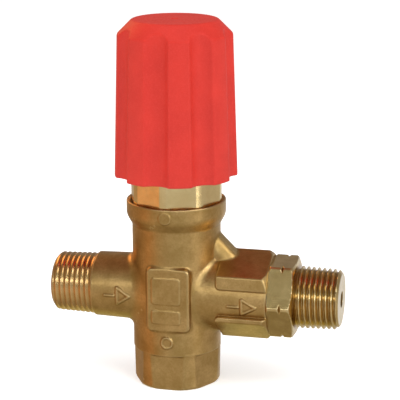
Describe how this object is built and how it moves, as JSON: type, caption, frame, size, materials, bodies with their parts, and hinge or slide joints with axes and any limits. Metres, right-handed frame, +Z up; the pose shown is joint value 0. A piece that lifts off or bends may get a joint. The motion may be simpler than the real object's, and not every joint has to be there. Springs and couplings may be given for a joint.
{
  "type": "pressure washer unloader valve",
  "caption": "Brass unloader valve for a pressure washer: upright column, threaded inlet and outlet branches, bypass port at the foot, red scalloped pressure knob.",
  "frame": {"origin": "bottom centre of the bounding box; the column's axis is 7.25 mm towards -X and the branches' axis 32.4 mm up", "axes": "+Z up along the column towards the knob, +X along the flow from the inlet to the outlet, -Y the front with the raised pad"},
  "size_m": [0.1006, 0.0414, 0.1262],
  "materials": {
    "forged_brass": "as forged, fine grained, turned on the collar and on the ends",
    "turned_brass": "turned, fine tool marks",
    "red_plastic": "moulded, lightly pebbled",
    "black_rubber": "smooth",
    "white_plastic": "smooth",
    "stainless_steel": "turned and polished",
    "spring_steel": "zinc plated"
  },
  "bodies": {
    "housing": {"valve_body": "forged_brass", "bypass_seat": "stainless_steel", "seat_o_ring": "black_rubber", "stem_guide": "turned_brass", "guide_outer_o_ring": "black_rubber", "guide_stem_seal": "black_rubber", "bonnet": "turned_brass", "bonnet_o_ring": "black_rubber", "knob_stop_ring": "spring_steel", "outlet_fitting": "turned_brass", "outlet_o_ring": "black_rubber", "main_spring": "spring_steel", "check_spring": "spring_steel"},
    "adjuster": {"upper_spring_plate": "spring_steel", "thrust_ball": "stainless_steel"},
    "knob": {"knob": "red_plastic", "knob_insert": "turned_brass"},
    "piston": {"piston": "stainless_steel", "piston_o_ring": "black_rubber", "piston_backup_ring": "white_plastic", "piston_stem": "stainless_steel", "bypass_poppet": "stainless_steel", "lower_spring_plate": "spring_steel", "stem_nut": "stainless_steel"},
    "check": {"check_poppet": "turned_brass", "check_seal_ring": "black_rubber"}
  },
  "joints": [
    {"name": "adjuster_slide", "type": "slide", "parent": "housing", "child": "adjuster", "axis": [0, 0, 1], "range_m": [-0.006, 0.003], "deforming": ["main_spring"]},
    {"name": "knob_turn", "type": "hinge", "parent": "adjuster", "child": "knob", "pos_m": [-0.00725, 0, 0.12], "axis": [0, 0, 1], "range_deg": [-1440, 720]},
    {"name": "piston_lift", "type": "slide", "parent": "housing", "child": "piston", "axis": [0, 0, 1], "range_m": [0, 0.003], "deforming": ["main_spring"]},
    {"name": "check_open", "type": "slide", "parent": "housing", "child": "check", "axis": [1, 0, 0], "range_m": [0, 0.0035], "deforming": ["check_spring"]}
  ],
  "couplings": [
    {"joint": "adjuster_slide", "follows": "knob_turn", "m_per_rad": 0.00023873}
  ]
}
